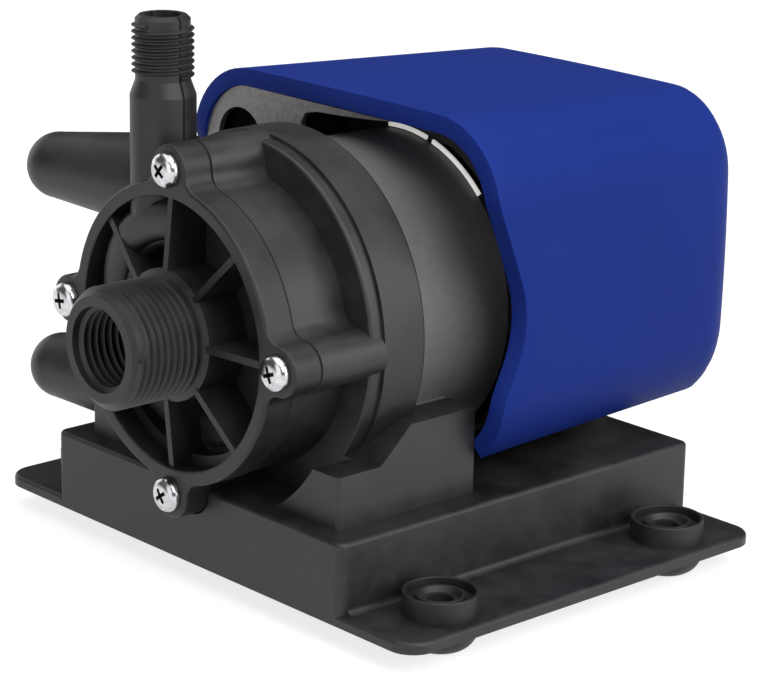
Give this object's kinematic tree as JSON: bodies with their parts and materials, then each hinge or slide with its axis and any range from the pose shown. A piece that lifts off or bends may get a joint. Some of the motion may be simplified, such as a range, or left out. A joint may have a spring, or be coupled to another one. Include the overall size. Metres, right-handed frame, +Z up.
{
  "type": "magnet-driven pump",
  "caption": "Magnet-driven water pump with a ribbed volute head, threaded inlet and outlet, a shrouded motor and a base plate on rubber grommets.",
  "frame": {"origin": "middle of the four mounting holes, on the surface that the rubber grommets stand on", "axes": "+X to the right as seen from the inlet, +Y from the inlet to the motor along the pump axis, +Z up"},
  "size_m": [0.142, 0.1579, 0.1257],
  "materials": {
    "shroud_plastic": "satin",
    "black_plastic": "satin",
    "rubber": "matte",
    "zinc_steel": "polished",
    "bright_steel": "satin",
    "casting": "matte",
    "magnet": "satin",
    "ceramic": "polished",
    "bronze": "satin",
    "copper": "satin",
    "lamination": "satin"
  },
  "bodies": {
    "housing": {"base_plate": "black_plastic", "pump_bracket": "black_plastic", "bracket_screws": "zinc_steel", "front_housing": "black_plastic", "housing_screws": "zinc_steel", "o_ring": "rubber", "rear_housing": "black_plastic", "spindle": "ceramic", "front_thrust_washer": "ceramic", "rear_thrust_washer": "ceramic", "adapter_ring": "bright_steel", "motor_front_shield": "casting", "shield_screws": "zinc_steel", "front_bearing": "bronze", "rear_bearing": "bronze", "stator_core": "lamination", "windings": "copper", "motor_rear_shield": "casting", "through_bolts": "zinc_steel", "earth_screw": "zinc_steel", "motor_shroud": "shroud_plastic", "shroud_screws": "zinc_steel", "grommet_front_left": "rubber", "grommet_front_right": "rubber", "grommet_rear_left": "rubber", "grommet_rear_right": "rubber"},
    "motor_rotor": {"motor_shaft": "bright_steel", "rotor_core": "lamination", "drive_hub": "bright_steel", "drive_magnets": "magnet", "hub_set_screw": "zinc_steel", "cooling_fan": "black_plastic"},
    "impeller_wheel": {"impeller": "black_plastic", "impeller_bush": "black_plastic", "driven_magnet": "magnet"}
  },
  "joints": [
    {"name": "rotor_spin", "type": "hinge", "parent": "housing", "child": "motor_rotor", "pos_m": [0, 0, 0.059], "axis": [0, 1, 0], "continuous": true},
    {"name": "impeller_spin", "type": "hinge", "parent": "housing", "child": "impeller_wheel", "pos_m": [0, -0.035, 0.059], "axis": [0, 1, 0], "continuous": true}
  ],
  "couplings": [
    {"joint": "impeller_spin", "follows": "rotor_spin", "ratio": 1}
  ]
}
